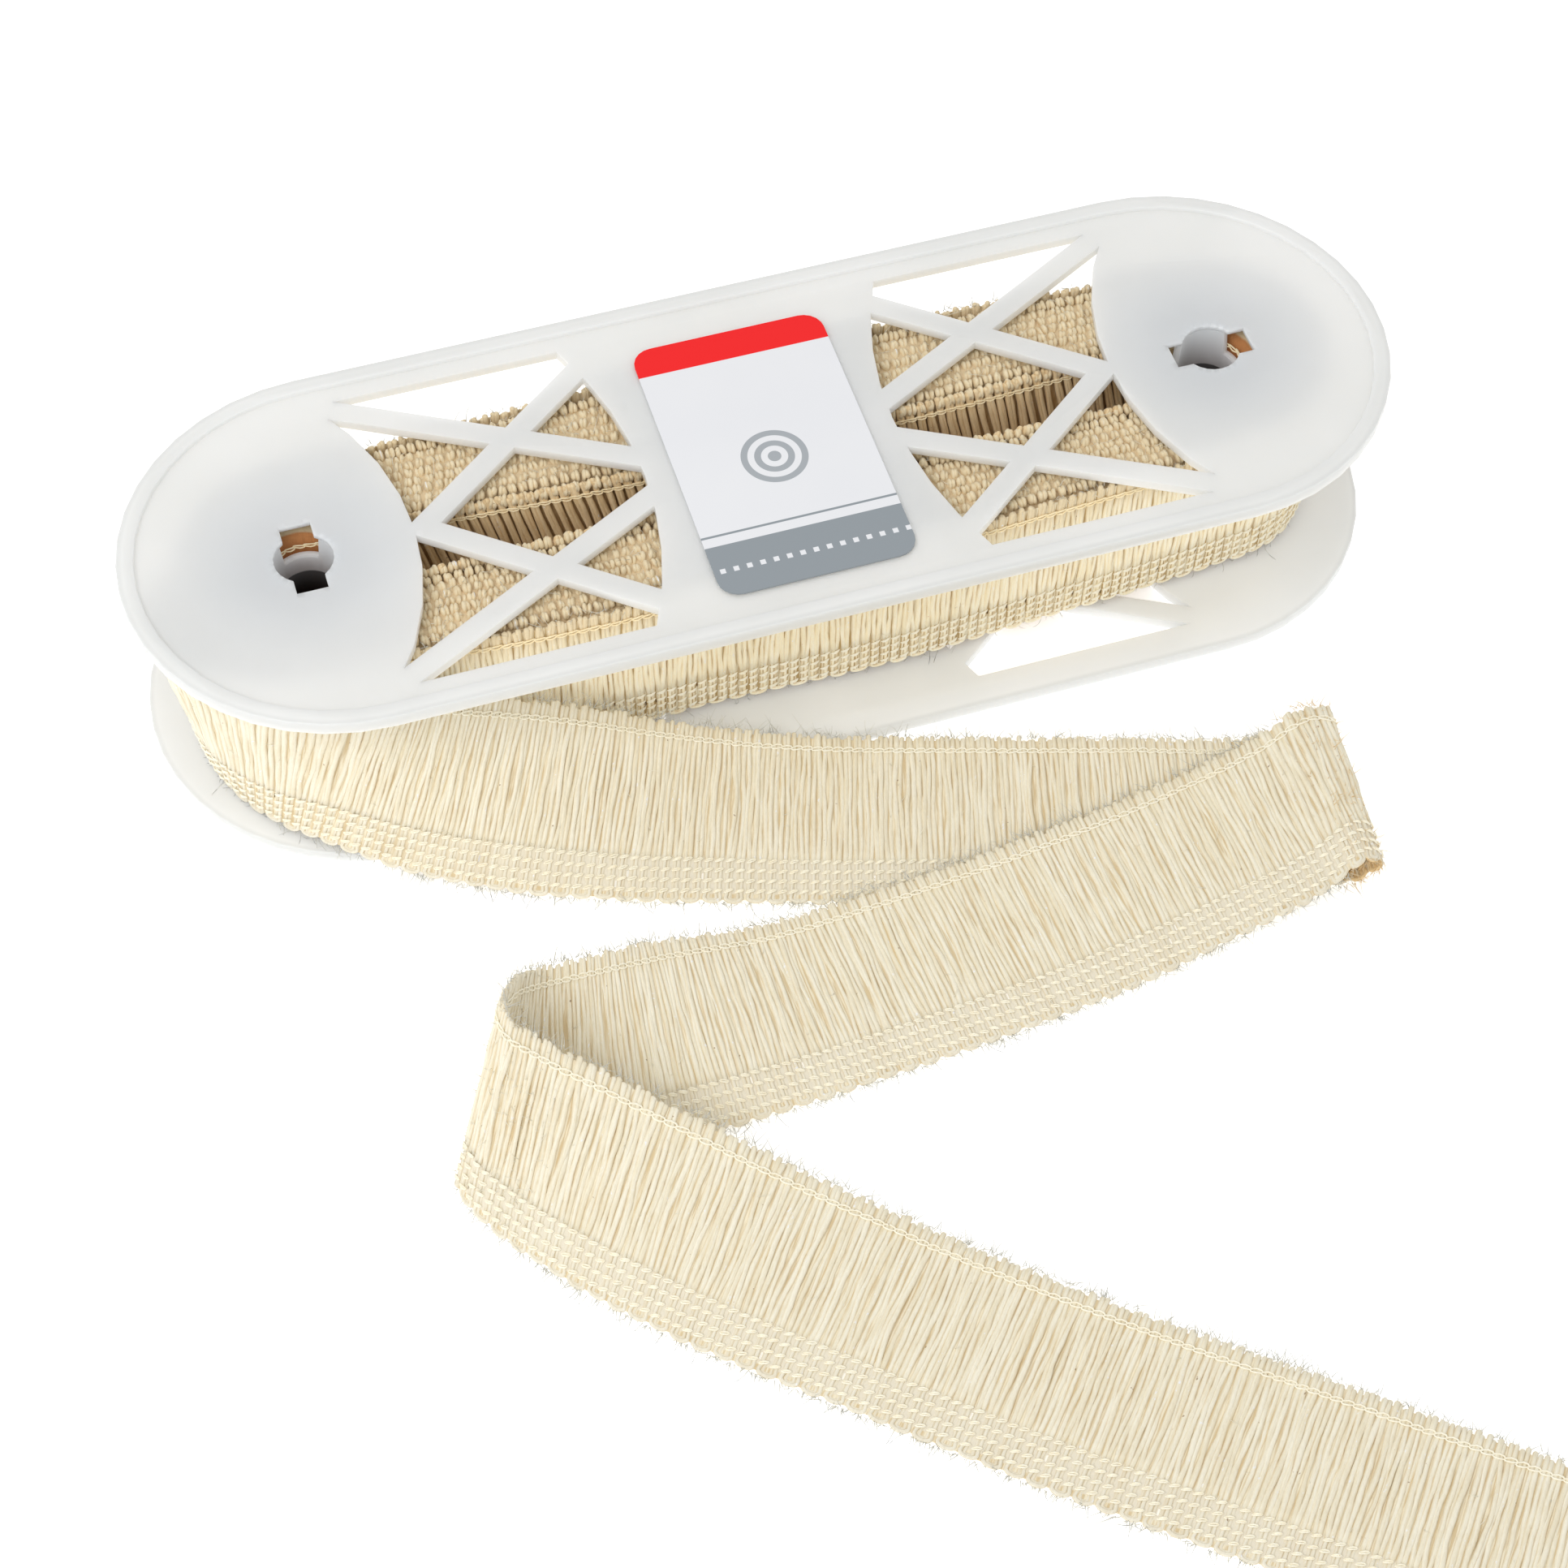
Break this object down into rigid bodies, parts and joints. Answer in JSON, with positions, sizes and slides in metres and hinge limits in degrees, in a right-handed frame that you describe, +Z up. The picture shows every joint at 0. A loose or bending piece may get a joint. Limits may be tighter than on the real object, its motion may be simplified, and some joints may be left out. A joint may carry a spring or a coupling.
{
  "type": "fringe trim wound on a flat two-post spool",
  "caption": "Cream burlap-look fringe trim with a knitted heading, wound on a flat oval plastic spool, its loose end folded on the surface.",
  "frame": {"origin": "middle of the underside of the spool's lower flange", "axes": "+X along the spool, +Z up through the flanges, the loose end lies on the -Y side"},
  "size_m": [0.2508, 0.2982, 0.0445],
  "materials": {
    "spool": "translucent white moulded plastic, satin gloss",
    "sticker": "smooth printed paper label, plain bands",
    "yarn": "soft two-ply cream yarn",
    "heading": "knitted cream yarn"
  },
  "bodies": {
    "root": {"flange_lower": "spool", "flange_upper": "spool", "post_left": "spool", "post_right": "spool", "sticker": "sticker", "wound_trim": "yarn", "heading": "heading", "fringe_leaving": "yarn", "fringe_lying_back": "yarn", "fringe_turning_down": "yarn", "fringe_settling": "yarn", "fringe_first_pass": "yarn", "fringe_right_fold": "yarn", "fringe_second_pass": "yarn", "fringe_left_fold": "yarn", "fringe_left_turn": "yarn", "fringe_left_return": "yarn", "fringe_third_pass": "yarn"}
  },
  "joints": []
}
